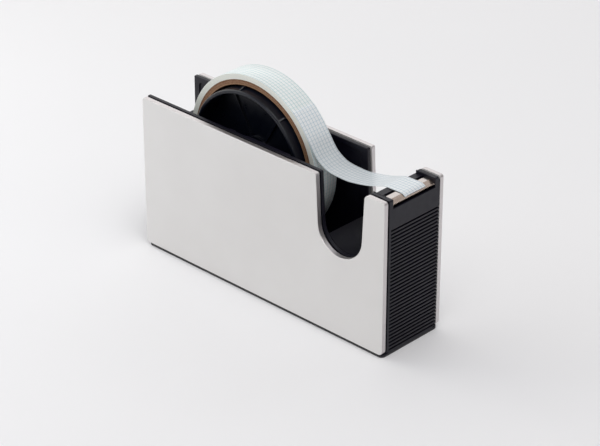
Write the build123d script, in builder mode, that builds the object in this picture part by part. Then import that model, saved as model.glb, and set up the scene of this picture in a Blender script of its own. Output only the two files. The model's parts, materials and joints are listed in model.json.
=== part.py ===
"""Desk tape dispenser for a 15 mm tape on a 76 mm core.

Two painted aluminium side plates stand either side of a black moulded body. The reel
hangs by a steel axle in open grooves and lifts out. A finger slot in the side plates
leaves the tape free between the roll and the blade on the ribbed front post.

Frame: +X to the blade end, +Y to the left side, +Z up, millimetres. The origin is
the middle of the footprint on the table.
"""

import os
from math import cos, radians, sin, tan

from build123d import *

os.makedirs("parts", exist_ok=True)

# ---------------------------------------------------------------- driving sizes
LENGTH = 167.4  # side plates, end to end
WIDTH = 42.6  # over both side plates
TOP = 86.0  # top edge of plates, walls and cheeks
PLATE_BOTTOM = 1.7  # the plates stop this far above the table
PLATE_T = 2.5
GLUE_T = 0.2
WALL_T = 3.1
FIT = 0.1  # play between pieces that slide together when the body is put together

SLOT_X = 54.9  # centre of the finger slot's round bottom
SLOT_Z = 60.5
SLOT_R = 14.5
SLOT_DRAFT = 3.0  # degrees that each side of the slot leans outwards

REEL_X = -19.3  # reel axis
REEL_Z = 68.9
AXLE_R = 2.5
CORE_IN_R = 38.3
CORE_OUT_R = 41.0
ROLL_R = 44.1
TAPE_NEAR = -5.9  # the tape's two edges
TAPE_FAR = 9.1
DRUM_R = 37.1
DRUM_T = 2.3
DRUM_NEAR = -10.9
DRUM_FAR = 10.9

MAT_T = 0.8
PAN_T = 1.6  # bottom cover
BODY_BOTTOM = 2.5  # lower edge of the walls, tray and front cover
FLOOR_TOP = 18.5
FLOOR_T = 2.5
REAR_TOP = 67.0

FRONT_T = 4.0
RIB_PITCH = 2.0
RIB_COUNT = 34
RIB_FIRST_Z = 3.4
GROOVE_W = 1.0
GROOVE_DEPTH = 0.8  # to the middle of the groove's round bottom
GROOVE_RIGHT = -16.3  # the grooves stop short of the right side plate
REBATE_T = 1.0  # step beside the side plates that leaves a dark line round the body
REBATE_DEEP = 1.5
FRONT_REBATE_T = 0.8  # the same step on the right edge of the front cover
FRONT_REBATE_DEEP = 0.8
NOTCH_Z = 81.0  # bottom of the notch under the blade's edge
NOTCH_HALF = 15.1
PIT_Z = 77.0  # the notch is deeper behind its front skin
PIT_SKIN = 0.9
PLATFORM_Z = 84.5
BLADE_Z = 84.6
BLADE_T = 0.5

# ---------------------------------------------------------------- worked-out sizes
FRONT = LENGTH / 2
PLATE_IN = WIDTH / 2 - PLATE_T  # plate's inner face, from the middle
WALL_OUT = PLATE_IN - GLUE_T
WALL_IN = WALL_OUT - WALL_T
BODY_HALF = WALL_IN - FIT  # half width of the pieces between the walls
WALL_BACK = -83.2  # the walls end just short of the side plates
COVER_X = FRONT - FRONT_T  # inner face of the ribbed front cover
RAIL_TOP = FLOOR_TOP - FLOOR_T
FLANGE_T = 3.0
FLANGE_IN = BODY_HALF - FLANGE_T
TRAY_BACK = -79.2
TRAY_FRONT = COVER_X - FIT
SCOOP_BACK = 42.8
SCOOP_FRONT = 73.1
SCOOP_T = 2.4
HOLDER_BOTTOM = 66.0

SCREW_R = 1.4
PILOT_R = 1.5
SCREW_HOLE_R = 1.7
HEAD_R = 2.8
HEAD_HOLE_R = 3.0
HEAD_T = 1.2
HEAD_SINK = 1.4
CROSS_L = 2.8
CROSS_W = 0.6
WALL_SCREW_IN = 2.6  # how far a wall screw reaches past the wall's inner face
FLANGE_SCREW_X = 76.6
RAIL_SCREWS = [(-72.0, 10.0), (34.0, 10.0)]
FRONT_SCREWS = [(FLANGE_SCREW_X, 24.0), (FLANGE_SCREW_X, 56.0)]
HOLDER_SCREWS = [(76.0, 71.0)]
REAR_SCREWS = [(-FLANGE_SCREW_X, 50.0)]
WALL_SCREWS = RAIL_SCREWS + FRONT_SCREWS + HOLDER_SCREWS + REAR_SCREWS
PAN_SCREW_X = 73.0
PAN_SCREW_Y = 8.5
PAN_SCREWS = [(x, y) for x in (-PAN_SCREW_X, PAN_SCREW_X) for y in (-PAN_SCREW_Y, PAN_SCREW_Y)]


def save(part, name):
    """Labels a finished piece and writes its STEP file."""
    part.label = name
    export_step(part, f"parts/{name}.step")


def slot_profile():
    """The finger slot seen from the side: a half round with sides that open upwards."""
    lean = radians(SLOT_DRAFT)
    low = SLOT_Z - SLOT_R * sin(lean)
    reach = SLOT_R * cos(lean)
    high = TOP + FRONT_T
    spread = reach + (high - low) * tan(lean)
    with BuildSketch() as slot:
        with BuildLine():
            Line((SLOT_X - spread, high), (SLOT_X - reach, low))
            ThreePointArc(
                (SLOT_X - reach, low),
                (SLOT_X, SLOT_Z - SLOT_R),
                (SLOT_X + reach, low),
            )
            Line((SLOT_X + reach, low), (SLOT_X + spread, high))
            Line((SLOT_X + spread, high), (SLOT_X - spread, high))
        make_face()
    return slot.sketch


SLOT = slot_profile()


def round_corner(outline, row, place, radius):
    """Rounds one corner: row 0 is the lowest, row -1 the highest, place counts from the back."""
    corners = outline.vertices().group_by(Axis.Y)[row].sort_by(Axis.X)
    fillet(corners[place], radius)


def side_outline(back, front, bottom, bottom_r, top_radii):
    """A plate or wall seen from the side. The radii go from the rear end to the front end."""
    with BuildSketch() as outline:
        with Locations(((back + front) / 2, (bottom + TOP) / 2)):
            Rectangle(front - back, TOP - bottom)
        add(SLOT, mode=Mode.SUBTRACT)
        if bottom_r:
            round_corner(outline, 0, -1, bottom_r)
            round_corner(outline, 0, 0, bottom_r)
        for place in (3, 2, 1, 0):
            if top_radii[place]:
                round_corner(outline, -1, place, top_radii[place])
    return outline.sketch


def upper_edges(face):
    """The edges of a wall's face along its top and around the finger slot."""
    ends = (WALL_BACK, COVER_X)
    return [
        edge
        for edge in face.edges()
        if edge.center().Z > SLOT_Z - SLOT_R - FIT and min(abs(edge.center().X - x) for x in ends) > FIT
    ]


# ---------------------------------------------------------------- side plates
PLATE_CORNER_R = 2.6
PLATE_TOP_RADII = (1.5, 0.9, 2.4, 1.5)
PLATE_EDGE_R = 0.35

with BuildPart() as right_side_plate:
    with BuildSketch(Plane.XZ.offset(PLATE_IN)):
        add(side_outline(-FRONT, FRONT, PLATE_BOTTOM, PLATE_CORNER_R, PLATE_TOP_RADII))
    extrude(amount=PLATE_T)
    fillet(right_side_plate.faces().sort_by(Axis.Y)[0].edges(), PLATE_EDGE_R)

with BuildPart() as left_side_plate:
    add(mirror(right_side_plate.part, about=Plane.XZ))

# ---------------------------------------------------------------- glue films
GLUE_INSET = 2.5
WALL_TOP_RADII = (0, 0.9, 1.6, 0)

with BuildPart() as right_glue_film:
    with BuildSketch(Plane.XZ.offset(WALL_OUT)):
        add(side_outline(WALL_BACK, COVER_X, BODY_BOTTOM, 0, WALL_TOP_RADII))
        offset(amount=-GLUE_INSET, kind=Kind.INTERSECTION)
    extrude(amount=GLUE_T)

with BuildPart() as left_glue_film:
    add(mirror(right_glue_film.part, about=Plane.XZ))

# ---------------------------------------------------------------- inner walls
WALL_EDGE_R = 0.5
PANEL_BACK = -79.8  # sunk panel on the inner face, with a raised rim around it
PANEL_FRONT = 35.2
PANEL_LOW = 21.0
PANEL_HIGH = 83.4
PANEL_DEPTH = 0.6
PANEL_CORNER_R = 2.0
GUIDE_T = 2.4  # axle guide, proud of the inner face
GUIDE_BACK = -27.5
GUIDE_FRONT = 14.5
GUIDE_HIGH = 84.6
GUIDE_LOW = 58.0
GUIDE_LIP = 4.0
GROOVE_HALF = AXLE_R + FIT
MOUTH_HALF = 4.4
MOUTH_Z = 81.6
POST_PAD_BACK = 71.2
POST_PAD_LOW = HOLDER_BOTTOM

with BuildPart() as right_inner_wall:
    with BuildSketch(Plane.XZ.offset(WALL_IN)):
        add(side_outline(WALL_BACK, COVER_X, BODY_BOTTOM, 0, WALL_TOP_RADII))
    extrude(amount=WALL_T)
    fillet(upper_edges(right_inner_wall.faces().sort_by(Axis.Y)[-1]), WALL_EDGE_R)
    with BuildSketch(Plane.XZ.offset(WALL_OUT - REBATE_T)):
        add(side_outline(WALL_BACK, COVER_X, BODY_BOTTOM, 0, WALL_TOP_RADII))
        offset(amount=-REBATE_DEEP, kind=Kind.INTERSECTION, mode=Mode.SUBTRACT)
    extrude(amount=REBATE_T, mode=Mode.SUBTRACT)
    with BuildSketch(Plane.XZ.offset(WALL_IN)):
        with Locations(((PANEL_BACK + PANEL_FRONT) / 2, (PANEL_LOW + PANEL_HIGH) / 2)):
            RectangleRounded(PANEL_FRONT - PANEL_BACK, PANEL_HIGH - PANEL_LOW, PANEL_CORNER_R)
    extrude(amount=PANEL_DEPTH, mode=Mode.SUBTRACT)
    # guide that carries the axle in an open groove
    with BuildSketch(Plane.XZ.offset(WALL_IN - GUIDE_T)):
        with BuildLine():
            Polyline(
                (GUIDE_BACK, GUIDE_LOW),
                (GUIDE_BACK, GUIDE_HIGH),
                (GUIDE_FRONT, GUIDE_HIGH),
                (GUIDE_FRONT, GUIDE_HIGH - GUIDE_LIP),
                (REEL_X + 2 * MOUTH_HALF, GUIDE_LOW),
                close=True,
            )
        make_face()
        with Locations((REEL_X, REEL_Z)):
            Circle(GROOVE_HALF, mode=Mode.SUBTRACT)
        with BuildLine():
            Polyline(
                (REEL_X - GROOVE_HALF, REEL_Z),
                (REEL_X - GROOVE_HALF, MOUTH_Z),
                (REEL_X - MOUTH_HALF, TOP),
                (REEL_X + MOUTH_HALF, TOP),
                (REEL_X + GROOVE_HALF, MOUTH_Z),
                (REEL_X + GROOVE_HALF, REEL_Z),
                close=True,
            )
        make_face(mode=Mode.SUBTRACT)
    extrude(amount=GUIDE_T + PANEL_DEPTH)
    # thicker cheek beside the blade
    with BuildSketch(Plane.XZ.offset(NOTCH_HALF)):
        with Locations(((POST_PAD_BACK + COVER_X) / 2, (POST_PAD_LOW + TOP) / 2)):
            Rectangle(COVER_X - POST_PAD_BACK, TOP - POST_PAD_LOW)
    extrude(amount=WALL_IN - NOTCH_HALF)
    # sunk holes for the screws that the side plate hides
    with BuildSketch(Plane.XZ.offset(NOTCH_HALF)):
        with Locations(*WALL_SCREWS):
            Circle(SCREW_HOLE_R)
    extrude(amount=WALL_OUT - NOTCH_HALF, mode=Mode.SUBTRACT)
    with BuildSketch(Plane.XZ.offset(WALL_OUT - HEAD_SINK)):
        with Locations(*WALL_SCREWS):
            Circle(HEAD_HOLE_R)
    extrude(amount=HEAD_SINK, mode=Mode.SUBTRACT)

with BuildPart() as left_inner_wall:
    add(mirror(right_inner_wall.part, about=Plane.XZ))

with BuildPart() as right_wall_screws:
    with BuildSketch(Plane.XZ.offset(WALL_OUT - HEAD_SINK)):
        with Locations(*WALL_SCREWS):
            Circle(HEAD_R)
    extrude(amount=HEAD_T)
    with BuildSketch(Plane.XZ.offset(WALL_OUT - HEAD_SINK + HEAD_T / 2)):
        with Locations(*WALL_SCREWS):
            Rectangle(CROSS_L, CROSS_W)
            Rectangle(CROSS_W, CROSS_L)
    extrude(amount=HEAD_T, mode=Mode.SUBTRACT)
    with BuildSketch(Plane.XZ.offset(WALL_IN - WALL_SCREW_IN)):
        with Locations(*WALL_SCREWS):
            Circle(SCREW_R)
    extrude(amount=WALL_SCREW_IN + WALL_T - HEAD_SINK)

with BuildPart() as left_wall_screws:
    add(mirror(right_wall_screws.part, about=Plane.XZ))

# ---------------------------------------------------------------- base tray
BOSS_R = 3.6
PAN_PILOT = 9.0
TIE = 3.2  # small webs that tie the screw bosses to the rails
END_BAR = 2.5

with BuildPart() as base_tray:
    with BuildSketch(Plane.XY.offset(BODY_BOTTOM)):
        with Locations(((TRAY_BACK + TRAY_FRONT) / 2, 0)):
            Rectangle(TRAY_FRONT - TRAY_BACK, 2 * BODY_HALF)
            Rectangle(TRAY_FRONT - TRAY_BACK - 2 * END_BAR, 2 * FLANGE_IN, mode=Mode.SUBTRACT)
        with Locations(*PAN_SCREWS):
            Circle(BOSS_R)
        with Locations(*[(x, side * FLANGE_IN) for x, y in PAN_SCREWS[::2] for side in (-1, 1)]):
            Rectangle(TIE, TIE)
        with Locations(*PAN_SCREWS):
            Circle(PILOT_R, mode=Mode.SUBTRACT)
    extrude(amount=RAIL_TOP - BODY_BOTTOM)
    with BuildSketch(Plane.XY.offset(RAIL_TOP)):
        with Locations(((TRAY_BACK + SCOOP_BACK - FIT) / 2, 0)):
            Rectangle(SCOOP_BACK - FIT - TRAY_BACK, 2 * BODY_HALF)
    extrude(amount=FLOOR_T)
    with BuildSketch(Plane.XZ.offset(-BODY_HALF)):
        with Locations(*RAIL_SCREWS):
            Circle(PILOT_R)
    extrude(amount=2 * BODY_HALF, mode=Mode.SUBTRACT)

# ---------------------------------------------------------------- rear panel
REAR_EDGE_R = 1.0
REAR_FLANGE_L = 5.0
REAR_FLANGE_H = 20.0

with BuildPart() as rear_panel:
    with BuildSketch(Plane.XY.offset(BODY_BOTTOM)):
        with Locations(((WALL_BACK + TRAY_BACK - FIT) / 2, 0)):
            Rectangle(TRAY_BACK - FIT - WALL_BACK, 2 * BODY_HALF)
    extrude(amount=REAR_TOP - BODY_BOTTOM)
    fillet(rear_panel.faces().sort_by(Axis.Z)[-1].edges().filter_by(Axis.Y), REAR_EDGE_R)
    with BuildSketch(Plane.XY.offset(REAR_SCREWS[0][1] - REAR_FLANGE_H / 2)):
        for side in (-1, 1):
            with Locations((TRAY_BACK - FIT + REAR_FLANGE_L / 2, side * (BODY_HALF - FLANGE_T / 2))):
                Rectangle(REAR_FLANGE_L, FLANGE_T)
    extrude(amount=REAR_FLANGE_H)
    with BuildSketch(Plane.XZ.offset(-BODY_HALF)):
        with Locations(*REAR_SCREWS):
            Circle(PILOT_R)
    extrude(amount=2 * BODY_HALF, mode=Mode.SUBTRACT)

# ---------------------------------------------------------------- finger scoop
# A curved sheet that carries the slot's round bottom across the body, with a rear face
# down to the tray and a front wall up to the blade holder.
UNDER_BACK = (SCOOP_BACK + SCOOP_T, 40.0)  # corners of the hollow under the sheet
UNDER_BEND = (SCOOP_BACK + SCOOP_T + 1.0, 45.5)
UNDER_LOW = (SLOT_X + 2.0, SLOT_Z - SLOT_R - SCOOP_T)
UNDER_FRONT = (SLOT_X + SLOT_R, 52.0)

with BuildPart() as finger_scoop:
    with BuildSketch(Plane.XZ.offset(-BODY_HALF)):
        with BuildLine():
            Polyline(
                (SCOOP_BACK, RAIL_TOP),
                (SCOOP_BACK, SLOT_Z - SLOT_R / 2),
                (SLOT_X, SLOT_Z - SLOT_R / 2),
                (SLOT_X, HOLDER_BOTTOM),
                (SCOOP_FRONT, HOLDER_BOTTOM),
                (SCOOP_FRONT, RAIL_TOP),
                close=True,
            )
        make_face()
        add(SLOT, mode=Mode.SUBTRACT)
        with BuildLine():
            Polyline(
                UNDER_BEND,
                UNDER_BACK,
                (SCOOP_BACK + SCOOP_T, BODY_BOTTOM),
                (FRONT, BODY_BOTTOM),
                (FRONT, UNDER_FRONT[1]),
                UNDER_FRONT,
            )
            ThreePointArc(UNDER_FRONT, UNDER_LOW, UNDER_BEND)
        make_face(mode=Mode.SUBTRACT)
    extrude(amount=2 * BODY_HALF)

# ---------------------------------------------------------------- front cover
FRONT_FLANGE_BACK = 73.3
FRONT_FLANGE_TOP = 64.0
FRONT_EDGE_R = 0.8

with BuildPart() as front_cover:
    with BuildSketch(Plane.XY.offset(BODY_BOTTOM)):
        with Locations(((COVER_X + FRONT) / 2, 0)):
            Rectangle(FRONT_T, 2 * WALL_OUT)
    extrude(amount=TOP - BODY_BOTTOM)
    fillet(front_cover.faces().sort_by(Axis.Z)[-1].edges().sort_by(Axis.X)[-1], FRONT_EDGE_R)
    with BuildSketch(Plane.XY.offset(NOTCH_Z)):
        with Locations(((COVER_X + FRONT) / 2, 0)):
            Rectangle(2 * FRONT_T, 2 * NOTCH_HALF)
    extrude(amount=TOP - NOTCH_Z, mode=Mode.SUBTRACT)
    with BuildSketch(Plane.XY.offset(PIT_Z)):
        with Locations(((COVER_X + FRONT - PIT_SKIN) / 2, 0)):
            Rectangle(FRONT - PIT_SKIN - COVER_X, 2 * NOTCH_HALF)
    extrude(amount=NOTCH_Z - PIT_Z, mode=Mode.SUBTRACT)
    with BuildSketch(Plane.XZ.offset(-WALL_OUT)):
        with Locations((FRONT, RIB_FIRST_Z + RIB_PITCH * (RIB_COUNT - 1) / 2)):
            with GridLocations(0, RIB_PITCH, 1, RIB_COUNT):
                Rectangle(2 * GROOVE_DEPTH, GROOVE_W)
        with Locations((FRONT - GROOVE_DEPTH, RIB_FIRST_Z + RIB_PITCH * (RIB_COUNT - 1) / 2)):
            with GridLocations(0, RIB_PITCH, 1, RIB_COUNT):
                Circle(GROOVE_W / 2)
    extrude(amount=WALL_OUT - GROOVE_RIGHT, mode=Mode.SUBTRACT)
    with BuildSketch(Plane.XZ.offset(WALL_OUT - FRONT_REBATE_T)):
        with Locations((FRONT, (BODY_BOTTOM + TOP) / 2)):
            Rectangle(2 * FRONT_REBATE_DEEP, TOP - BODY_BOTTOM)
        with Locations(((COVER_X + FRONT) / 2, TOP)):
            Rectangle(FRONT_T, 2 * REBATE_DEEP)
    extrude(amount=FRONT_REBATE_T, mode=Mode.SUBTRACT)
    with BuildSketch(Plane.XZ.offset(-WALL_OUT)):
        with Locations(((COVER_X + FRONT) / 2, TOP)):
            Rectangle(FRONT_T, 2 * REBATE_DEEP)
    extrude(amount=REBATE_T, mode=Mode.SUBTRACT)
    with BuildSketch(Plane.XY.offset(FLOOR_TOP)):
        for side in (-1, 1):
            with Locations(((FRONT_FLANGE_BACK + COVER_X) / 2, side * (BODY_HALF - FLANGE_T / 2))):
                Rectangle(COVER_X - FRONT_FLANGE_BACK, FLANGE_T)
    extrude(amount=FRONT_FLANGE_TOP - FLOOR_TOP)
    with BuildSketch(Plane.XZ.offset(-BODY_HALF)):
        with Locations(*FRONT_SCREWS):
            Circle(PILOT_R)
    extrude(amount=2 * BODY_HALF, mode=Mode.SUBTRACT)

# ---------------------------------------------------------------- blade and its holder
HOLDER_HALF = NOTCH_HALF - FIT
GAP_BACK = 75.2  # open gap behind the blade
LEG_X = 77.1  # rear face of the blade's upright leg
LEG_FOOT = 79.0
BEND_X = 80.5
EDGE_X = 83.5
EDGE_Z = 83.1
BLADE_HALF = 14.9
TOOTH_PITCH = 1.0
TOOTH_COUNT = 30
TOOTH_DEPTH = 0.5
CLEAR_CUT = 0.01  # how far a cut runs past the face that it opens
HOLDER_EDGE_R = 0.8

with BuildPart() as blade_holder:
    with BuildSketch(Plane.XZ.offset(-HOLDER_HALF)):
        with BuildLine():
            Polyline(
                (SLOT_X, HOLDER_BOTTOM),
                (SLOT_X, PLATFORM_Z),
                (GAP_BACK, PLATFORM_Z),
                (GAP_BACK, LEG_FOOT),
                (LEG_X + BLADE_T, LEG_FOOT),
                (LEG_X + BLADE_T, BLADE_Z - BLADE_T),
                (TRAY_FRONT, BLADE_Z - BLADE_T),
                (TRAY_FRONT, HOLDER_BOTTOM),
                close=True,
            )
        make_face()
        add(SLOT, mode=Mode.SUBTRACT)
    extrude(amount=2 * HOLDER_HALF)
    fillet(blade_holder.edges().filter_by(Axis.Y).group_by(Axis.Z)[-1].sort_by(Axis.X)[0], HOLDER_EDGE_R)
    with BuildSketch(Plane.XZ.offset(-HOLDER_HALF)):
        with Locations(*HOLDER_SCREWS):
            Circle(PILOT_R)
    extrude(amount=2 * HOLDER_HALF, mode=Mode.SUBTRACT)

with BuildPart() as blade:
    with BuildSketch(Plane.XZ.offset(-BLADE_HALF)):
        with BuildLine():
            Polyline(
                (LEG_X, LEG_FOOT),
                (LEG_X, BLADE_Z),
                (BEND_X, BLADE_Z),
                (EDGE_X, EDGE_Z),
                (EDGE_X, EDGE_Z - BLADE_T / 2),
                (BEND_X, BLADE_Z - BLADE_T),
                (LEG_X + BLADE_T, BLADE_Z - BLADE_T),
                (LEG_X + BLADE_T, LEG_FOOT),
                close=True,
            )
        make_face()
    extrude(amount=2 * BLADE_HALF)
    with BuildSketch(Plane.XY.offset(NOTCH_Z)):
        with Locations((EDGE_X, 0)):
            with GridLocations(0, TOOTH_PITCH, 1, TOOTH_COUNT - 1):
                Polygon(
                    (-TOOTH_DEPTH, 0),
                    (CLEAR_CUT, -TOOTH_PITCH / 2),
                    (CLEAR_CUT, TOOTH_PITCH / 2),
                    align=None,
                )
    extrude(amount=TOP - NOTCH_Z, mode=Mode.SUBTRACT)

# ---------------------------------------------------------------- underside
PAN_BACK = -83.0
PAN_FRONT = 83.4
PAN_HALF = 20.7  # the bottom cover's lip reaches under the side plates
PAN_LIP_T = 0.8
PAN_STEP_HALF = 18.4  # above the lip it stands between the plates
PAN_CORNER_R = 2.5
PAN_SCREW_TOP = 10.5
PAN_SINK = 1.0
PAN_HEAD_T = 0.9
MAT_INSET = 0.1  # from the lip's edge
BALLAST_L = 134.0
BALLAST_HALF = 12.0
BALLAST_TOP = 15.6

with BuildPart() as bottom_cover:
    with BuildSketch(Plane.XY.offset(MAT_T)):
        with Locations(((PAN_BACK + PAN_FRONT) / 2, 0)):
            RectangleRounded(PAN_FRONT - PAN_BACK, 2 * PAN_HALF, PAN_CORNER_R)
        with Locations(*PAN_SCREWS):
            Circle(SCREW_HOLE_R, mode=Mode.SUBTRACT)
    extrude(amount=PAN_LIP_T)
    with BuildSketch(Plane.XY.offset(MAT_T)):
        with Locations(((PAN_BACK + PAN_FRONT) / 2, 0)):
            RectangleRounded(PAN_FRONT - PAN_BACK, 2 * PAN_STEP_HALF, PAN_CORNER_R)
        with Locations(*PAN_SCREWS):
            Circle(SCREW_HOLE_R, mode=Mode.SUBTRACT)
    extrude(amount=PAN_T)
    with BuildSketch(Plane.XY.offset(MAT_T)):
        with Locations(*PAN_SCREWS):
            Circle(HEAD_HOLE_R)
    extrude(amount=PAN_SINK, mode=Mode.SUBTRACT)

with BuildPart() as bottom_screws:
    with BuildSketch(Plane.XY.offset(MAT_T + PAN_SINK - PAN_HEAD_T)):
        with Locations(*PAN_SCREWS):
            Circle(HEAD_R)
    extrude(amount=PAN_HEAD_T)
    with BuildSketch(Plane.XY.offset(MAT_T)):
        with Locations(*PAN_SCREWS):
            Rectangle(CROSS_L, CROSS_W)
            Rectangle(CROSS_W, CROSS_L)
    extrude(amount=PAN_SINK - PAN_HEAD_T / 2, mode=Mode.SUBTRACT)
    with BuildSketch(Plane.XY.offset(MAT_T + PAN_SINK)):
        with Locations(*PAN_SCREWS):
            Circle(SCREW_R)
    extrude(amount=PAN_SCREW_TOP - MAT_T - PAN_SINK)

with BuildPart() as base_mat:
    with BuildSketch():
        with Locations(((PAN_BACK + PAN_FRONT) / 2, 0)):
            RectangleRounded(
                PAN_FRONT - PAN_BACK - 2 * MAT_INSET,
                2 * (PAN_HALF - MAT_INSET),
                PAN_CORNER_R - MAT_INSET,
            )
    extrude(amount=MAT_T)

with BuildPart() as steel_ballast:
    with BuildSketch(Plane.XY.offset(MAT_T + PAN_T)):
        Rectangle(BALLAST_L, 2 * BALLAST_HALF)
    extrude(amount=BALLAST_TOP - MAT_T - PAN_T)

# ---------------------------------------------------------------- axle
AXLE_HALF = WALL_IN - 2 * FIT
AXLE_BEVEL = 0.4
REEL_AXIS = Axis((REEL_X, 0, REEL_Z), (0, -1, 0))
HUB_HALF = 8.0
BUSH_FLANGE_T = 1.0
SPACER_R = 4.2
SPACER_IN = HUB_HALF + BUSH_FLANGE_T + 2 * FIT
SPACER_OUT = WALL_IN - GUIDE_T - 2 * FIT

with BuildPart() as reel_axle:
    with BuildSketch(Plane.XZ.offset(-AXLE_HALF)):
        with Locations((REEL_X, REEL_Z)):
            Circle(AXLE_R)
    extrude(amount=2 * AXLE_HALF)
    chamfer(reel_axle.edges().filter_by(GeomType.CIRCLE), AXLE_BEVEL)

with BuildPart() as axle_spacers:
    for start in (SPACER_IN, -SPACER_OUT):
        with BuildSketch(Plane.XZ.offset(start)):
            with Locations((REEL_X, REEL_Z)):
                Circle(SPACER_R)
                Circle(AXLE_R, mode=Mode.SUBTRACT)
        extrude(amount=SPACER_OUT - SPACER_IN)

# ---------------------------------------------------------------- reel drum
HUB_R = 6.8
HUB_STEP_R = 9.8  # low step where the hub meets the web
HUB_STEP_HALF = 2.6
BUSH_R = 4.4
BUSH_L = 5.0
BUSH_FLANGE_R = 6.0
WEB_HALF = 1.2
WEB_TO = DRUM_R - DRUM_T / 2
SPOKE_COUNT = 6
SPOKE_T = 1.6
SPOKE_HALF = 2.2
GRIP_COUNT = 8
GRIP_FIRST = 7.0  # degrees from +X towards +Z
GRIP_W = 1.0
GRIP_R = CORE_IN_R - FIT / 2
GRIP_RAMP_TOP = -7.2  # the rib rises from the drum's rim to here
GRIP_RAMP_FOOT = -10.4
STOP_R = 40.5
STOP_NEAR = 9.4
DRUM_RIM_R = 0.8

with BuildPart() as grip_rib:
    with BuildSketch(Plane.XY.offset(REEL_Z - GRIP_W / 2)):
        with BuildLine():
            Polyline(
                (REEL_X + WEB_TO, STOP_NEAR),
                (REEL_X + GRIP_R, STOP_NEAR),
                (REEL_X + GRIP_R, GRIP_RAMP_TOP),
                (REEL_X + DRUM_R, GRIP_RAMP_FOOT),
                (REEL_X + WEB_TO, GRIP_RAMP_FOOT),
                close=True,
            )
        make_face()
    extrude(amount=GRIP_W)

with BuildPart() as reel_drum:
    with BuildSketch(Plane.XZ.offset(-DRUM_FAR)):
        with Locations((REEL_X, REEL_Z)):
            Circle(DRUM_R)
            Circle(DRUM_R - DRUM_T, mode=Mode.SUBTRACT)
    extrude(amount=DRUM_FAR - DRUM_NEAR)
    fillet(reel_drum.faces().sort_by(Axis.Y)[0].edges(), DRUM_RIM_R)
    with BuildSketch(Plane.XZ.offset(-DRUM_FAR)):
        with Locations((REEL_X, REEL_Z)):
            Circle(STOP_R)
            Circle(DRUM_R - DRUM_T, mode=Mode.SUBTRACT)
    extrude(amount=DRUM_FAR - STOP_NEAR)
    with BuildSketch(Plane.XZ.offset(-WEB_HALF)):
        with Locations((REEL_X, REEL_Z)):
            Circle(WEB_TO)
    extrude(amount=2 * WEB_HALF)
    with BuildSketch(Plane.XZ.offset(-SPOKE_HALF)):
        with Locations((REEL_X, REEL_Z)):
            with PolarLocations(WEB_TO / 2, SPOKE_COUNT):
                Rectangle(WEB_TO, SPOKE_T)
    extrude(amount=2 * SPOKE_HALF)
    for radius, half in ((HUB_STEP_R, HUB_STEP_HALF), (HUB_R, HUB_HALF)):
        with BuildSketch(Plane.XZ.offset(-half)):
            with Locations((REEL_X, REEL_Z)):
                Circle(radius)
        extrude(amount=2 * half)
    # grip ribs inside the core
    for k in range(GRIP_COUNT):
        add(grip_rib.part.rotate(REEL_AXIS, GRIP_FIRST + k * 360 / GRIP_COUNT))
    with BuildSketch(Plane.XZ.offset(-HUB_HALF)):
        with Locations((REEL_X, REEL_Z)):
            Circle(BUSH_R)
    extrude(amount=2 * HUB_HALF, mode=Mode.SUBTRACT)

with BuildPart() as reel_bushes:
    for start, flange_start in ((HUB_HALF - BUSH_L, HUB_HALF), (-HUB_HALF, -HUB_HALF - BUSH_FLANGE_T)):
        with BuildSketch(Plane.XZ.offset(start)):
            with Locations((REEL_X, REEL_Z)):
                Circle(BUSH_R)
                Circle(AXLE_R + FIT, mode=Mode.SUBTRACT)
        extrude(amount=BUSH_L)
        with BuildSketch(Plane.XZ.offset(flange_start)):
            with Locations((REEL_X, REEL_Z)):
                Circle(BUSH_FLANGE_R)
                Circle(AXLE_R + FIT, mode=Mode.SUBTRACT)
        extrude(amount=BUSH_FLANGE_T)

# ---------------------------------------------------------------- tape
with BuildPart() as tape_core:
    with BuildSketch(Plane.XZ.offset(-TAPE_FAR)):
        with Locations((REEL_X, REEL_Z)):
            Circle(CORE_OUT_R)
            Circle(CORE_IN_R, mode=Mode.SUBTRACT)
    extrude(amount=TAPE_FAR - TAPE_NEAR)

with BuildPart() as tape_roll:
    with BuildSketch(Plane.XZ.offset(-TAPE_FAR)):
        with Locations((REEL_X, REEL_Z)):
            Circle(ROLL_R)
            Circle(CORE_OUT_R, mode=Mode.SUBTRACT)
    extrude(amount=TAPE_FAR - TAPE_NEAR)

TAIL_T = 0.24
TAIL_RUN = [
    (17.9, 93.8),
    (20.3, 89.8),
    (22.8, 86.0),
    (26.0, 82.5),
    (31.0, 79.7),
    (36.0, 78.7),
    (44.4, 78.4),
    (50.5, 79.2),
    (57.6, 80.6),
    (63.0, 82.2),
    (68.7, 84.3),
    (71.5, 84.95),
    (75.0, 85.08),
    (80.4, 85.08),
    (82.6, 84.15),
]

with BuildPart() as tape_tail:
    with BuildSketch(Plane.XZ.offset(-TAPE_FAR)):
        with BuildLine():
            Spline(*TAIL_RUN)
        trace(line_width=TAIL_T)
    extrude(amount=TAPE_FAR - TAPE_NEAR)

for piece, name in (
    (right_side_plate, "right_side_plate"),
    (left_side_plate, "left_side_plate"),
    (right_glue_film, "right_glue_film"),
    (left_glue_film, "left_glue_film"),
    (right_inner_wall, "right_inner_wall"),
    (left_inner_wall, "left_inner_wall"),
    (right_wall_screws, "right_wall_screws"),
    (left_wall_screws, "left_wall_screws"),
    (base_tray, "base_tray"),
    (rear_panel, "rear_panel"),
    (finger_scoop, "finger_scoop"),
    (front_cover, "front_cover"),
    (blade_holder, "blade_holder"),
    (blade, "blade"),
    (bottom_cover, "bottom_cover"),
    (bottom_screws, "bottom_screws"),
    (base_mat, "base_mat"),
    (steel_ballast, "steel_ballast"),
    (reel_axle, "reel_axle"),
    (axle_spacers, "axle_spacers"),
    (reel_drum, "reel_drum"),
    (reel_bushes, "reel_bushes"),
    (tape_core, "tape_core"),
    (tape_roll, "tape_roll"),
    (tape_tail, "tape_tail"),
):
    save(piece.part, name)
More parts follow.
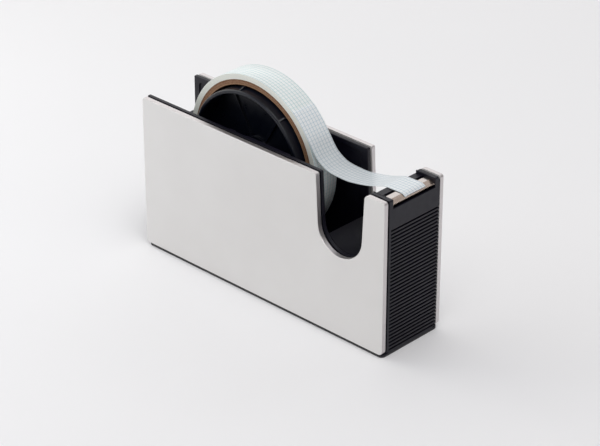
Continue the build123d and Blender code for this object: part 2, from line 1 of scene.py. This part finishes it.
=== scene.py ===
"""Looks for the desk tape dispenser: materials, the wound tape, its free end, floor, lights and camera.

Everything is in metres in the model's own frame: +X to the blade, +Y to the left, +Z up.
"""

import json
import math

import bpy
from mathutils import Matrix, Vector


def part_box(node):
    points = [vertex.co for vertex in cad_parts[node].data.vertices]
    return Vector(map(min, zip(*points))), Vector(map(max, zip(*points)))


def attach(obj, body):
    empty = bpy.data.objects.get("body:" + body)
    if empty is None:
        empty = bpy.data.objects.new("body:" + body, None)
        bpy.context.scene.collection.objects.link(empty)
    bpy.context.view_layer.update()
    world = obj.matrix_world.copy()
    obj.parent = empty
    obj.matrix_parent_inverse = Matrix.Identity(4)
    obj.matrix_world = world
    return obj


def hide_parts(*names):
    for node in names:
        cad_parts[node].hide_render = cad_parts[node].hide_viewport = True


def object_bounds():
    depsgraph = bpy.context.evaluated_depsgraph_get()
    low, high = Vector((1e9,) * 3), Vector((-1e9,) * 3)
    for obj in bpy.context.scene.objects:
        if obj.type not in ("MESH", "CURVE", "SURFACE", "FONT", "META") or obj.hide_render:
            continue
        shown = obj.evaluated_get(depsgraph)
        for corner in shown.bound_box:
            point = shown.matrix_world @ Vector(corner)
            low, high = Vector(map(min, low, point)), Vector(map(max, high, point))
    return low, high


MM = 0.001

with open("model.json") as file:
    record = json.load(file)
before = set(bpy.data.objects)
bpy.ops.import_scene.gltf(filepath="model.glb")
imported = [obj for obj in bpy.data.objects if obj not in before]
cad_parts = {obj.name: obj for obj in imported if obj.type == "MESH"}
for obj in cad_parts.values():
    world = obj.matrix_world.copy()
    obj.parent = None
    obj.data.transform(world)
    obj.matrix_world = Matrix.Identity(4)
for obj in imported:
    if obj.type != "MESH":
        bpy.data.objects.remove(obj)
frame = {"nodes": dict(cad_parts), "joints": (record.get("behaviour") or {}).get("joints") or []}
nodes = frame["nodes"]
cad_low, cad_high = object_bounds()

# ---------------------------------------------------------------- node helpers


def new_material(name):
    """A material with nothing but its shader. Returns the material, its node tree and the shader."""
    mat = bpy.data.materials.new(name)
    mat.use_nodes = True
    tree = mat.node_tree
    tree.nodes.clear()
    out = tree.nodes.new("ShaderNodeOutputMaterial")
    shader = tree.nodes.new("ShaderNodeBsdfPrincipled")
    tree.links.new(shader.outputs["BSDF"], out.inputs["Surface"])
    return mat, tree, shader


def place(tree, kind="Object"):
    """The surface's own coordinates in metres, or its normals where the kind is Normal."""
    return tree.nodes.new("ShaderNodeTexCoord").outputs[kind]


def separated(tree, vector):
    """The X, Y and Z outputs of a vector socket."""
    node = tree.nodes.new("ShaderNodeSeparateXYZ")
    tree.links.new(vector, node.inputs["Vector"])
    return node.outputs


def stretched(tree, scale):
    """The surface's own coordinates, multiplied by a scale for each axis."""
    node = tree.nodes.new("ShaderNodeMapping")
    node.inputs["Scale"].default_value = scale
    tree.links.new(place(tree), node.inputs["Vector"])
    return node.outputs["Vector"]


def noise(tree, vector, scale, detail=2.0, roughness=0.5):
    """Noise from 0 to 1 over the given coordinates."""
    node = tree.nodes.new("ShaderNodeTexNoise")
    node.inputs["Scale"].default_value = scale
    node.inputs["Detail"].default_value = detail
    node.inputs["Roughness"].default_value = roughness
    tree.links.new(vector, node.inputs["Vector"])
    return node.outputs["Fac"]


def ramp(tree, value, low, high, to_low=0.0, to_high=1.0):
    """Maps a value's span low..high onto to_low..to_high, held at both ends."""
    node = tree.nodes.new("ShaderNodeMapRange")
    node.clamp = True
    for name, number in zip(("From Min", "From Max", "To Min", "To Max"), (low, high, to_low, to_high)):
        node.inputs[name].default_value = number
    tree.links.new(value, node.inputs["Value"])
    return node.outputs["Result"]


def math_node(tree, operation, a, b=None):
    """A math node whose inputs are numbers or sockets."""
    node = tree.nodes.new("ShaderNodeMath")
    node.operation = operation
    for socket, given in zip(node.inputs, (a, b)):
        if given is None:
            continue
        if isinstance(given, (int, float)):
            socket.default_value = given
        else:
            tree.links.new(given, socket)
    return node.outputs[0]


def blend_colours(tree, factor, a, b):
    """Mixes two colours, each a tuple or a socket, by a factor socket."""
    node = tree.nodes.new("ShaderNodeMix")
    node.data_type = "RGBA"
    colour_inputs = [s for s in node.inputs if s.type == "RGBA"]
    tree.links.new(factor, node.inputs["Factor"])
    for socket, given in zip(colour_inputs, (a, b)):
        if isinstance(given, tuple):
            socket.default_value = (*given, 1.0)
        else:
            tree.links.new(given, socket)
    return [s for s in node.outputs if s.type == "RGBA"][0]


def bump(tree, shader, height, depth, normal=None):
    """Raises the surface by a height socket times a depth in metres, over a given normal."""
    node = tree.nodes.new("ShaderNodeBump")
    node.inputs["Strength"].default_value = 1.0
    node.inputs["Distance"].default_value = depth
    tree.links.new(height, node.inputs["Height"])
    if normal is not None:
        tree.links.new(normal, node.inputs["Normal"])
    tree.links.new(node.outputs["Normal"], shader.inputs["Normal"])


def soft_edges(tree, radius):
    """Normals that round the model's sharp edges by a small radius."""
    node = tree.nodes.new("ShaderNodeBevel")
    node.samples = 6
    node.inputs["Radius"].default_value = radius
    return node.outputs["Normal"]


def dress(material, *names):
    """Puts one material on the named CAD nodes."""
    for name in names:
        for slot in nodes[name].material_slots:
            slot.material = material


# ---------------------------------------------------------------- painted plates
PAINT = ((0.762, 0.750, 0.736), (0.790, 0.780, 0.767))
CUT_METAL = ((0.61, 0.58, 0.585), (0.73, 0.70, 0.70))
CUT_LINES = (300.0, 5000.0, 300.0)  # the cut edge's fine lines lie close together along Y
FACING_ALONG = (0.6, 0.8)  # how far a normal leans towards an axis to start and to end a blend
PEEL_DEPTH = 0.012 * MM
PLATE_EDGE = 0.2 * MM


def sideways(tree):
    """1 where a surface faces along Y, 0 where it faces along X or Z."""
    lean = math_node(tree, "ABSOLUTE", separated(tree, place(tree, "Normal"))["Y"])
    return ramp(tree, lean, *FACING_ALONG)


def plate_paint():
    """Satin white coating with a fine orange peel, and bare satin metal on the cut edges."""
    mat, tree, shader = new_material("plate_paint")
    where = place(tree)
    tint = ramp(tree, noise(tree, where, scale=22.0, detail=3.0), 0.35, 0.65)
    painted = sideways(tree)
    paint = blend_colours(tree, tint, *PAINT)
    lines = noise(tree, stretched(tree, CUT_LINES), scale=1.0, detail=3.0)
    metal = blend_colours(tree, lines, *CUT_METAL)
    tree.links.new(blend_colours(tree, painted, metal, paint), shader.inputs["Base Color"])
    tree.links.new(math_node(tree, "SUBTRACT", 1.0, painted), shader.inputs["Metallic"])
    satin = ramp(tree, noise(tree, where, scale=350.0, detail=4.0), 0.3, 0.7, 0.40, 0.50)
    tree.links.new(satin, shader.inputs["Roughness"])
    bump(tree, shader, noise(tree, where, scale=1900.0), PEEL_DEPTH, soft_edges(tree, PLATE_EDGE))
    shader.inputs["Coat Weight"].default_value = 0.12
    shader.inputs["Coat Roughness"].default_value = 0.35
    return mat


# ---------------------------------------------------------------- moulded plastic
MOULDED_EDGE = 0.25 * MM
WORN_GAIN = 1.35  # worn places are this much lighter, and never quite black
WORN_LIFT = 0.0006


def moulded(name, colour, rough, grain=2600.0, depth=0.01 * MM, gloss=0.36):
    """Moulded plastic with a fine grain, slightly uneven gloss and softened edges."""
    mat, tree, shader = new_material(name)
    where = place(tree)
    worn = ramp(tree, noise(tree, where, scale=60.0, detail=5.0, roughness=0.6), 0.35, 0.7)
    lighter = tuple(c * WORN_GAIN + WORN_LIFT for c in colour)
    tree.links.new(blend_colours(tree, worn, colour, lighter), shader.inputs["Base Color"])
    uneven = noise(tree, where, scale=240.0, detail=3.0)
    tree.links.new(
        ramp(tree, uneven, 0.3, 0.7, rough - 0.05, rough + 0.06),
        shader.inputs["Roughness"],
    )
    shader.inputs["Specular IOR Level"].default_value = gloss
    grains = noise(tree, where, scale=grain, detail=1.5)
    bump(tree, shader, grains, depth, soft_edges(tree, MOULDED_EDGE))
    return mat


# ---------------------------------------------------------------- metals
DRAWN_GAIN = 1.12  # how much lighter the light lines are
DRAWN_DEPTH = 0.002 * MM
DRAWN_EDGE = 0.1 * MM
BLADE_LINES = (900.0, 40.0, 900.0)  # the blade's lines run along Y
BLADE_DEPTH = 0.0006 * MM
BLADE_FLAT = ((0.49, 0.450, 0.430), (0.54, 0.505, 0.485))
# painted reflection: the bevel is the same steel as the flat, tinted warmer and darker for what it
# reflects
BLADE_BEVEL_PAINTED_REFLECTION = ((0.50, 0.405, 0.345), (0.57, 0.475, 0.415))


def drawn_metal(name, colour, rough, along):
    """Metal with fine lines that run along one axis: the scale is small along it."""
    mat, tree, shader = new_material(name)
    shader.inputs["Metallic"].default_value = 1.0
    lines = noise(tree, stretched(tree, along), scale=1.0, detail=3.0)
    lighter = tuple(min(1.0, c * DRAWN_GAIN) for c in colour)
    tree.links.new(blend_colours(tree, lines, colour, lighter), shader.inputs["Base Color"])
    tree.links.new(
        ramp(tree, lines, 0.3, 0.7, rough - 0.06, rough + 0.08),
        shader.inputs["Roughness"],
    )
    bump(tree, shader, lines, DRAWN_DEPTH, soft_edges(tree, DRAWN_EDGE))
    return mat


def ground_steel():
    """The blade: bright drawn steel; its ground bevel that slopes to the teeth gets a warmer, darker
    tint, a painted reflection.
    """
    mat, tree, shader = new_material("blade_steel")
    shader.inputs["Metallic"].default_value = 1.0
    # painted reflection: faces that lean towards +X get the warmer, darker bevel tint
    bevel = ramp(tree, separated(tree, place(tree, "Normal"))["X"], 0.2, 0.4)
    lines = noise(tree, stretched(tree, BLADE_LINES), scale=1.0)
    flat_colour = blend_colours(tree, lines, *BLADE_FLAT)
    bevel_painted_reflection = blend_colours(tree, lines, *BLADE_BEVEL_PAINTED_REFLECTION)
    tree.links.new(
        blend_colours(tree, bevel, flat_colour, bevel_painted_reflection),
        shader.inputs["Base Color"],
    )
    tree.links.new(ramp(tree, lines, 0.3, 0.7, 0.17, 0.24), shader.inputs["Roughness"])
    bump(tree, shader, lines, BLADE_DEPTH)
    return mat


# ---------------------------------------------------------------- rubber
RUBBER = ((0.045, 0.044, 0.047), (0.075, 0.074, 0.078))
PEBBLE_DEPTH = 0.08 * MM


def rubber_mat():
    """Matt rubber with a coarse pebble."""
    mat, tree, shader = new_material("mat_rubber")
    pebble = noise(tree, place(tree), scale=900.0)
    tree.links.new(blend_colours(tree, pebble, *RUBBER), shader.inputs["Base Color"])
    tree.links.new(ramp(tree, pebble, 0.3, 0.7, 0.75, 0.9), shader.inputs["Roughness"])
    bump(tree, shader, pebble, PEBBLE_DEPTH)
    return mat


# ---------------------------------------------------------------- reel geometry, from the frame
spin = next(j for j in frame["joints"] if j["name"] == "reel_spin")
AXIS_X = spin["pos_m"][0]
AXIS_Z = spin["pos_m"][2]
roll_low, roll_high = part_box("tape_roll")
core_low, core_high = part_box("tape_core")
ROLL_R = (roll_high[0] - roll_low[0]) / 2
CORE_R = (core_high[0] - core_low[0]) / 2
TAPE_NEAR = roll_low[1]
TAPE_FAR = roll_high[1]


def radius_socket(tree):
    """Distance from the reel's axis, in metres, at each point of a surface."""
    where = separated(tree, place(tree))
    dx = math_node(tree, "SUBTRACT", where["X"], AXIS_X)
    dz = math_node(tree, "SUBTRACT", where["Z"], AXIS_Z)
    dx_squared = math_node(tree, "MULTIPLY", dx, dx)
    dz_squared = math_node(tree, "MULTIPLY", dz, dz)
    return math_node(tree, "SQRT", math_node(tree, "ADD", dx_squared, dz_squared))


def rings(tree, pitch, shift):
    """Noise that changes only with the radius: the edges of wound layers."""
    across = math_node(tree, "DIVIDE", radius_socket(tree), pitch)
    node = tree.nodes.new("ShaderNodeTexNoise")
    node.noise_dimensions = "1D"
    node.inputs["Scale"].default_value = 1.0
    node.inputs["Detail"].default_value = 2.0
    tree.links.new(math_node(tree, "ADD", across, shift), node.inputs["W"])
    return node.outputs["Fac"]


CARD = ((0.17, 0.075, 0.035), (0.36, 0.205, 0.115))
FIBRE = (0.47, 0.30, 0.185)
FIBRE_DEPTH = 0.04 * MM
PLY = 0.5 * MM  # pitch of the card's wound layers
INNER_PLY = (CORE_R - 2.2 * MM, CORE_R - 1.5 * MM)  # radii over which the pale inner layer ends
OUTER_PLY = (CORE_R - 0.7 * MM, CORE_R - 0.4 * MM)  # radii over which the dark outer one begins


def card():
    """Brown wound card with visible layers and fibres: tan inside, a dark red-brown outer layer."""
    mat, tree, shader = new_material("wound_card")
    radius = radius_socket(tree)
    wound = ramp(tree, rings(tree, PLY, shift=3.0), 0.35, 0.65, 0.0, 0.7)
    inner = ramp(tree, radius, *INNER_PLY, 0.3, 0.0)
    outer = ramp(tree, radius, *OUTER_PLY, 0.0, 0.6)
    paler = math_node(tree, "SUBTRACT", math_node(tree, "ADD", wound, inner), outer)
    base = blend_colours(tree, ramp(tree, paler, 0.0, 1.0), *CARD)
    fibres = noise(tree, place(tree), scale=1400.0, detail=4.0, roughness=0.65)
    tree.links.new(
        blend_colours(tree, ramp(tree, fibres, 0.45, 0.75, 0.0, 0.6), base, FIBRE),
        shader.inputs["Base Color"],
    )
    shader.inputs["Roughness"].default_value = 0.85
    bump(tree, shader, fibres, FIBRE_DEPTH)
    return mat


# ---------------------------------------------------------------- printed tape
GRID = 2.0 * MM  # pitch of the printed lines
LINE = 0.36 * MM
LINE_CORE = 0.55  # part of a line's width that has its full ink
FIRST_LINE = 0.5 * MM  # shift of the lengthwise lines across the tape
TURN = 0.16 * MM  # pitch of the rings that the wound edges make
TURN_EDGES = ((0.68, 0.705, 0.64), (0.92, 0.935, 0.875))
FILM_DEPTH = 0.008 * MM
FREE_ALPHA = 0.65  # of each side of the free tape
CLEAR_RUN = 14.0 * MM  # length over which it turns clear
PAINTED_LIGHT_FROM = 69.5 * MM  # from this X the free tape lies on the blade holder and is drawn more opaque, brighter there: painted light
PAINTED_LIGHT_RUN = 3.0 * MM
PAINTED_LIGHT_ALPHA = 0.9


def printed_lines(tree, coordinate, offset=0.0):
    """1 on thin printed lines at the grid's pitch, 0 between them, with soft edges."""
    shifted = math_node(tree, "DIVIDE", math_node(tree, "ADD", coordinate, offset), GRID)
    cell = math_node(tree, "FRACT", shifted)
    away = math_node(tree, "ABSOLUTE", math_node(tree, "SUBTRACT", cell, 0.5))
    half = LINE / GRID / 2
    return ramp(tree, away, half, half * LINE_CORE)


def tape_film(name, papers, print_colour, cross_ink, clear_from=None):
    """Thin washi film with a pale printed grid.

    The UV map holds lengths in metres: along the tape, then across it. The lines across the tape
    are weaker by cross_ink. Past the length clear_from the film has nothing behind it and lets
    some light through. Over the blade holder it is drawn more opaque again, which hides the
    dark parts under it and brightens it there: painted light.
    """
    mat, tree, shader = new_material(name)
    uv = tree.nodes.new("ShaderNodeUVMap")
    uv.uv_map = "run"
    run = separated(tree, uv.outputs["UV"])
    along = printed_lines(tree, run["Y"], FIRST_LINE)
    cross = math_node(tree, "MULTIPLY", printed_lines(tree, run["X"]), cross_ink)
    mottled = noise(tree, place(tree), scale=700.0, detail=4.0, roughness=0.6)
    ink = math_node(
        tree,
        "MULTIPLY",
        math_node(tree, "MAXIMUM", along, cross),
        ramp(tree, mottled, 0.3, 0.7, 0.75, 1.0),
    )
    paper = blend_colours(tree, ramp(tree, mottled, 0.35, 0.65), *papers)
    face = blend_colours(tree, ink, paper, print_colour)
    # the wound edges show as rings on the two sides of the roll
    edge = blend_colours(tree, ramp(tree, rings(tree, TURN, shift=11.0), 0.3, 0.7), *TURN_EDGES)
    tree.links.new(blend_colours(tree, sideways(tree), face, edge), shader.inputs["Base Color"])
    shader.inputs["Roughness"].default_value = 0.42
    if clear_from is not None:
        opaque = ramp(tree, run["X"], clear_from, clear_from + CLEAR_RUN, 1.0, FREE_ALPHA)
        # painted light: over the blade holder the film is made more opaque, so it shows less of the
        # shaded parts under it and looks brighter
        painted_light_opacity = ramp(
            tree,
            separated(tree, place(tree))["X"],
            PAINTED_LIGHT_FROM,
            PAINTED_LIGHT_FROM + PAINTED_LIGHT_RUN,
            FREE_ALPHA,
            PAINTED_LIGHT_ALPHA,
        )
        tree.links.new(math_node(tree, "MAXIMUM", opaque, painted_light_opacity), shader.inputs["Alpha"])
    bump(tree, shader, noise(tree, place(tree), scale=1500.0, detail=3.0), FILM_DEPTH)
    return mat


def add_mesh(name, points, faces, uvs=None):
    """A new smooth-shaded mesh object. uvs holds one (u, v) for each corner of each face."""
    mesh = bpy.data.meshes.new(name)
    mesh.from_pydata(points, [], faces)
    if uvs:
        layer = mesh.uv_layers.new(name="run")
        flat = [value for corners in uvs for pair in corners for value in pair]
        layer.data.foreach_set("uv", flat)
    mesh.update()
    mesh.polygons.foreach_set("use_smooth", [True] * len(mesh.polygons))
    piece = bpy.data.objects.new(name, mesh)
    bpy.context.scene.collection.objects.link(piece)
    return piece


ROLL_STEPS = 26  # steps from the core to the outside on each side of the roll
ROLL_SPOKES = 288  # steps round the roll
UNLEVEL = 0.05 * MM  # how far the turns step in and out
NEAR_WANDER = (2.4, 1.3)  # how fast the steps change, in radians a step
FAR_WANDER = (1.9, 0.7)
ROLL_BEVEL_R = 0.12 * MM  # the outer corner's bevel, along the radius and across the tape
ROLL_BEVEL_Y = 0.144 * MM


def step_in(i, pace, sway):
    """How far in from the tape's edge the roll's side lies at a step, in metres."""
    return UNLEVEL * (0.5 + 0.5 * math.sin(i * pace + 2 * math.sin(i * sway)))


def tape_rings():
    """The wound tape: a turned ring whose sides step in and out where the turns don't lie level."""
    near = []
    far = []
    for i in range(ROLL_STEPS + 1):
        radius = CORE_R + (ROLL_R - CORE_R) * i / ROLL_STEPS
        near.append((radius, TAPE_NEAR + step_in(i, *NEAR_WANDER)))
        far.append((radius, TAPE_FAR - step_in(i, *FAR_WANDER)))
    near[-1] = (ROLL_R - ROLL_BEVEL_R, near[-1][1])
    far[-1] = (ROLL_R - ROLL_BEVEL_R, far[-1][1])
    tread = [(ROLL_R, TAPE_NEAR + ROLL_BEVEL_Y), (ROLL_R, TAPE_FAR - ROLL_BEVEL_Y)]
    profile = near + tread + far[::-1]
    count = len(profile)
    points = []
    for k in range(ROLL_SPOKES):
        angle = 2 * math.pi * k / ROLL_SPOKES
        for radius, y in profile:
            points.append((AXIS_X + radius * math.cos(angle), y, AXIS_Z + radius * math.sin(angle)))
    faces = []
    uvs = []
    for k in range(ROLL_SPOKES):
        here = k * count
        there = (k + 1) % ROLL_SPOKES * count
        u_here = 2 * math.pi * ROLL_R * k / ROLL_SPOKES
        u_there = 2 * math.pi * ROLL_R * (k + 1) / ROLL_SPOKES
        for i in range(count):
            j = (i + 1) % count
            faces.append((here + i, here + j, there + j, there + i))
            v_i, v_j = profile[i][1], profile[j][1]
            uvs.append(((u_here, v_i), (u_here, v_j), (u_there, v_j), (u_there, v_i)))
    piece = add_mesh("tape_turns", points, faces, uvs)
    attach(piece, "reel")
    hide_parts("tape_roll")
    return piece


TAIL_THICK = 0.08 * MM
TAIL_CLEAR = 0.1 * MM  # from the roll's outside to the middle of the free tape
TAIL_COLUMNS = 40  # steps across the free tape
TAIL_STEPS = 8  # steps between two of its points
TOOTH_DEEP = 0.4 * MM  # of the zigzag that the blade leaves on its end
TOOTH_COLUMNS = 4  # steps across one tooth
END_SKEW = 0.95 * MM  # how much longer the end is on the near side
LEAVE_ANGLE = 35.0  # degrees from +X where the tape leaves the roll
LAP_ANGLE = 2.0  # degrees between the points where it still lies on the roll
LAP_STEPS = 8
LAP_RUN = math.radians(LAP_ANGLE * LAP_STEPS) * ROLL_R
TAIL_POINTS = [  # middle of the free tape, x and z, in millimetres
    (20.2, 89.8),
    (22.8, 86.0),
    (26.0, 82.6),
    (31.0, 79.75),
    (36.0, 78.75),
    (44.4, 78.45),
    (50.5, 79.2),
    (57.6, 80.6),
    (63.0, 82.1),
    (67.8, 83.85),
    (70.9, 84.62),
    (75.0, 84.78),
    (80.5, 84.76),
    (83.0, 83.52),
]


def between(a, b, c, d, t):
    """A smooth curve's value a part t of the way from b to c, with a before them and d after."""
    bend = (2 * a - 5 * b + 4 * c - d) * t * t
    twist = (3 * b - a - 3 * c + d) * t**3
    return 0.5 * (2 * b + (c - a) * t + bend + twist)


def smooth_run(points, parts):
    """Points on a smooth curve through the given points, with a number of parts in each gap."""
    line = []
    last = len(points) - 1
    for i in range(last):
        around = [points[k] for k in (max(i - 1, 0), i, i + 1, min(i + 2, last))]
        for k in range(parts):
            line.append(tuple(between(*values, k / parts) for values in zip(*around)))
    line.append(points[-1])
    return line


def tail_route():
    """The free tape's middle line, as (x, z) in metres: round the roll, then to the blade."""
    radius = ROLL_R + TAIL_CLEAR
    lap = []
    for k in range(LAP_STEPS + 1):
        angle = math.radians(LEAVE_ANGLE + LAP_ANGLE * (LAP_STEPS - k))
        lap.append((AXIS_X + radius * math.cos(angle), AXIS_Z + radius * math.sin(angle)))
    free = [(x * MM, z * MM) for x, z in TAIL_POINTS]
    return lap[:-1] + smooth_run([lap[-1]] + free, TAIL_STEPS)


def end_cut(j):
    """How much shorter the tape's end is at a column: a zigzag and a skew, in metres."""
    zigzag = 2 * abs((j / TOOTH_COLUMNS) % 1 - 0.5)
    return TOOTH_DEEP * zigzag + END_SKEW * j / TAIL_COLUMNS


def film_points(run):
    """The free tape's upper points, row by row along the run, then its lower ones."""
    points = []
    for half in (TAIL_THICK / 2, -TAIL_THICK / 2):
        for i, (x, z) in enumerate(run):
            x0, z0 = run[max(i - 1, 0)]
            x1, z1 = run[min(i + 1, len(run) - 1)]
            length = math.hypot(x1 - x0, z1 - z0)
            tx, tz = (x1 - x0) / length, (z1 - z0) / length
            for j in range(TAIL_COLUMNS + 1):
                y = TAPE_NEAR + (TAPE_FAR - TAPE_NEAR) * j / TAIL_COLUMNS
                cut = end_cut(j) if i == len(run) - 1 else 0.0
                points.append((x - tx * cut - tz * half, y, z - tz * cut + tx * half))
    return points


def film_faces(rows):
    """The free tape's faces, each corner a row, a column and 0 for the upper side or 1."""
    last = rows - 1
    faces = []
    for i in range(last):
        for j in range(TAIL_COLUMNS):
            quad = ((i, j), (i + 1, j), (i + 1, j + 1), (i, j + 1))
            faces.append([(a, b, 0) for a, b in quad])
            faces.append([(a, b, 1) for a, b in quad[::-1]])
    rim = [((i, 0), (i + 1, 0)) for i in range(last)]
    rim += [((last, j), (last, j + 1)) for j in range(TAIL_COLUMNS)]
    rim += [((i + 1, TAIL_COLUMNS), (i, TAIL_COLUMNS)) for i in range(last)]
    rim += [((0, j + 1), (0, j)) for j in range(TAIL_COLUMNS)]
    for a, b in rim:
        faces.append([(*a, 0), (*a, 1), (*b, 1), (*b, 0)])
    return faces


def tape_end():
    """The free tape: a thin strip from the roll, over the finger slot and onto the blade."""
    run = tail_route()
    rows = len(run)
    points = film_points(run)
    lengths = [0.0]
    for (x0, z0), (x1, z1) in zip(run, run[1:]):
        lengths.append(lengths[-1] + math.hypot(x1 - x0, z1 - z0))
    faces = []
    uvs = []
    for face in film_faces(rows):
        faces.append([(under * rows + i) * (TAIL_COLUMNS + 1) + j for i, j, under in face])
        uvs.append([(lengths[i], points[j][1]) for i, j, under in face])
    piece = add_mesh("tape_free_end", points, faces, uvs)
    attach(piece, "axle")
    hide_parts("tape_tail")
    return piece


# ---------------------------------------------------------------- put the materials on
dress(plate_paint(), "right_side_plate", "left_side_plate")
dress(
    moulded("body_black", (0.0026, 0.0022, 0.0080), rough=0.45),
    "right_inner_wall",
    "left_inner_wall",
    "base_tray",
    "rear_panel",
    "front_cover",
    "blade_holder",
    "bottom_cover",
)
# painted shade: the scoop is a darker, less glossy copy of the body's black, darkened for the shade in
# the finger slot
dress(moulded("scoop_black_painted_shade", (0.0024, 0.0022, 0.0060), rough=0.6, gloss=0.24), "finger_scoop")
dress(
    moulded("reel_black", (0.0022, 0.0034, 0.0080), rough=0.32, grain=3200.0, depth=0.006 * MM),
    "reel_drum",
)
dress(moulded("bush_black", (0.02, 0.02, 0.02), rough=0.35), "reel_bushes", "axle_spacers")
dress(moulded("glue", (0.7, 0.7, 0.68), rough=0.6), "right_glue_film", "left_glue_film")
dress(ground_steel(), "blade")
dress(
    drawn_metal("axle_steel", (0.58, 0.58, 0.58), rough=0.3, along=(2200.0, 90.0, 2200.0)),
    "reel_axle",
)
dress(
    drawn_metal("screw_zinc", (0.42, 0.42, 0.41), rough=0.35, along=(900.0, 900.0, 900.0)),
    "right_wall_screws",
    "left_wall_screws",
    "bottom_screws",
)
dress(
    drawn_metal("ballast_steel", (0.16, 0.16, 0.165), rough=0.5, along=(40.0, 500.0, 500.0)),
    "steel_ballast",
)
dress(rubber_mat(), "base_mat")
dress(card(), "tape_core")

roll_film = tape_film(
    "tape_film",
    papers=((0.800, 0.845, 0.845), (0.840, 0.878, 0.875)),
    print_colour=(0.33, 0.545, 0.57),
    cross_ink=0.5,
)
# painted light: the free end is a copy of the roll's tape with a cooler, bluer paper and print, tinted
# for the different light that falls on it
free_film_painted_cool = tape_film(
    "tape_film_single_painted_cool",
    papers=((0.800, 0.840, 0.860), (0.840, 0.872, 0.890)),
    print_colour=(0.34, 0.48, 0.58),
    cross_ink=0.6,
    clear_from=LAP_RUN,
)
tape_rings().data.materials.append(roll_film)
tape_end().data.materials.append(free_film_painted_cool)

# ---------------------------------------------------------------- floor, lights and camera
FLOOR_SIZE = 6.0
FLOOR_Z = -0.05 * MM  # just clear of the mat
FLOOR_PAPER = ((0.83, 0.83, 0.845), (0.845, 0.845, 0.86))
STUDIO_COLOUR = (1.0, 0.955, 0.94)
STUDIO_STRENGTH = 0.285
CAMERA_AZIMUTH = 43.818  # degrees from -Y towards +X
CAMERA_ELEVATION = 28.691
CAMERA_DISTANCE = 1.1874
CAMERA_TARGET = (0.00814, 0.0, 0.03892)
CAMERA_LENS = 141.24
CAMERA_SENSOR = 36.0
CAMERA_CLIP = (0.05, 20.0)


def pale_floor():
    """A large plain floor just under the object."""
    half = FLOOR_SIZE / 2
    corners = [(x * half, y * half, FLOOR_Z) for x, y in ((-1, -1), (1, -1), (1, 1), (-1, 1))]
    floor = add_mesh("floor", corners, [(0, 1, 2, 3)])
    mat, tree, shader = new_material("floor_paper")
    tree.links.new(
        blend_colours(tree, noise(tree, place(tree), scale=3.0), *FLOOR_PAPER),
        shader.inputs["Base Color"],
    )
    shader.inputs["Roughness"].default_value = 0.9
    floor.data.materials.append(mat)


def direction(azimuth, elevation):
    """The unit vector from the object towards a light or camera. Azimuth 0 is -Y, 90 is +X."""
    a, e = math.radians(azimuth), math.radians(elevation)
    return math.sin(a) * math.cos(e), -math.cos(a) * math.cos(e), math.sin(e)


def stand(thing, target, back, distance):
    """Adds a light or camera that looks at a target from a distance along the direction back."""
    bpy.context.scene.collection.objects.link(thing)
    thing.location = [t + b * distance for t, b in zip(target, back)]
    thing.rotation_mode = "QUATERNION"
    thing.rotation_quaternion = (-Vector(back)).to_track_quat("-Z", "Y")


def softbox(name, azimuth, elevation, distance, size, power, colour=(1.0, 1.0, 1.0)):
    """A square area light of a size in metres and a power in watts, aimed at the object."""
    data = bpy.data.lights.new(name, "AREA")
    data.shape = "SQUARE"
    data.size = size
    data.energy = power
    data.color = colour
    middle = [(low + high) / 2 for low, high in zip(cad_low, cad_high)]
    light = bpy.data.objects.new(name, data)
    stand(light, middle, direction(azimuth, elevation), distance)


def studio_world():
    """Even, slightly warm light from all round, shown without a film look."""
    world = bpy.data.worlds.new("studio")
    world.use_nodes = True
    background = world.node_tree.nodes["Background"]
    background.inputs["Color"].default_value = (*STUDIO_COLOUR, 1.0)
    background.inputs["Strength"].default_value = STUDIO_STRENGTH
    bpy.context.scene.world = world
    bpy.context.scene.view_settings.view_transform = "Standard"


def photo_camera():
    """The camera at the photograph's view."""
    data = bpy.data.cameras.new("camera")
    data.sensor_width = CAMERA_SENSOR
    data.lens = CAMERA_LENS
    data.clip_start, data.clip_end = CAMERA_CLIP
    camera = bpy.data.objects.new("camera", data)
    stand(camera, CAMERA_TARGET, direction(CAMERA_AZIMUTH, CAMERA_ELEVATION), CAMERA_DISTANCE)
    bpy.context.scene.camera = camera


pale_floor()
# name, azimuth, elevation, distance, size, power and colour
softbox("left", -79.0, 25.0, 1.6, 1.4, 9.9, (1.0, 1.0, 0.95))
softbox("back_left", -135.0, 27.0, 1.6, 1.2, 4.6)
softbox("back", 180.0, 25.0, 1.6, 1.2, 3.2, (0.92, 0.95, 1.0))
softbox("back_high", 180.0, 50.0, 1.6, 1.2, 1.0)
softbox("back_right", 135.0, 50.0, 1.6, 1.2, 0.8)
softbox("front_high", 45.0, 60.0, 1.6, 1.2, 8.9, (1.0, 0.98, 0.97))
softbox("right_high", 65.0, 70.0, 1.6, 1.0, 4.2, (0.94, 0.98, 1.0))
softbox("near_left", -40.0, 25.0, 0.7, 0.4, 0.55, (0.80, 0.88, 1.0))
softbox("near_low", -70.0, 15.0, 0.5, 0.3, 0.25)
studio_world()
photo_camera()
